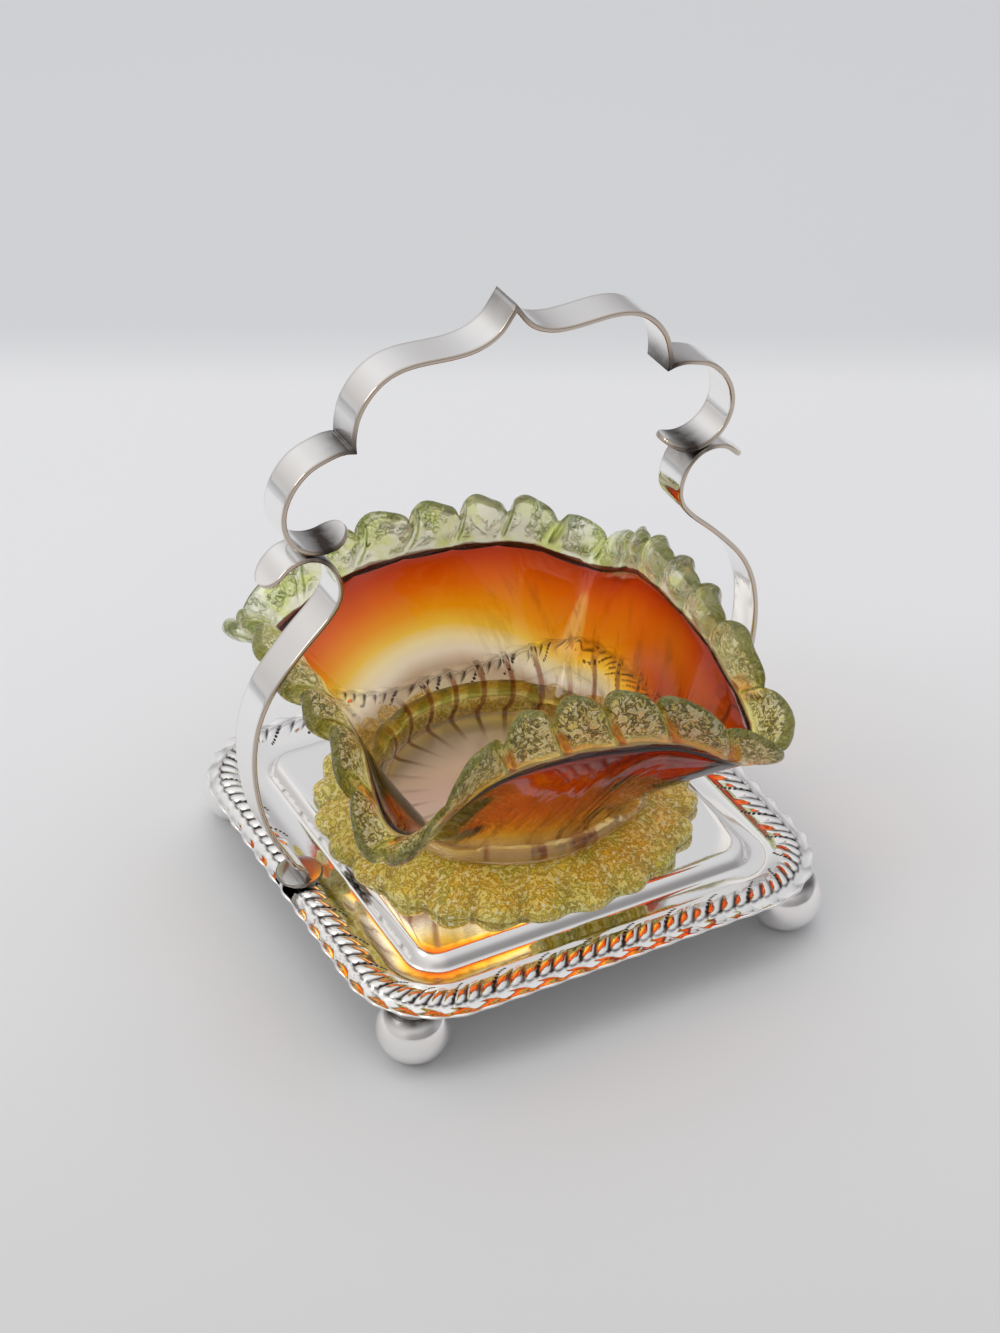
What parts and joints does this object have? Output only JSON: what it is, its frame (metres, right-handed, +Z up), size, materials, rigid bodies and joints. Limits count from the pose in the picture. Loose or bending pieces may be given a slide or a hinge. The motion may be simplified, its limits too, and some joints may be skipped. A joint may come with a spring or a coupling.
{
  "type": "bonbon dish",
  "caption": "Square plated tray on ball feet with a hoop handle of bent flat strip, carrying a loose four-cornered crimped glass dish that shades from amber to clear.",
  "frame": {"origin": "on the table under the middle of the tray", "axes": "+Z up; X along the handle from foot to foot; the front is at -Y"},
  "size_m": [0.165, 0.1498, 0.1952],
  "materials": {
    "silver_plate": "polished silver plate with dark tarnish in the pattern",
    "amber_glass": "glass shading from dark amber at the rim to clear at the bottom",
    "green_glass": "clear yellow-green crimped glass"
  },
  "bodies": {
    "stand": {"tray_sheet": "silver_plate", "foot_ball_front_left": "silver_plate", "foot_ball_front_right": "silver_plate", "foot_ball_back_left": "silver_plate", "foot_ball_back_right": "silver_plate", "foot_cap_front_left": "silver_plate", "foot_cap_front_right": "silver_plate", "foot_cap_back_left": "silver_plate", "foot_cap_back_right": "silver_plate", "handle_leg_left": "silver_plate", "handle_leg_right": "silver_plate", "handle_lobe_left": "silver_plate", "handle_lobe_right": "silver_plate", "handle_ogee_left": "silver_plate", "handle_ogee_right": "silver_plate"},
    "dish": {"glass_bowl": "amber_glass", "glass_rim_frill": "green_glass", "glass_waist_ring": "green_glass", "glass_foot_frill": "green_glass"}
  },
  "joints": [
    {"name": "dish_lift_off", "type": "slide", "parent": "stand", "child": "dish", "axis": [0, -0.9962, 0.0872], "range_m": [0, 0.155]}
  ]
}
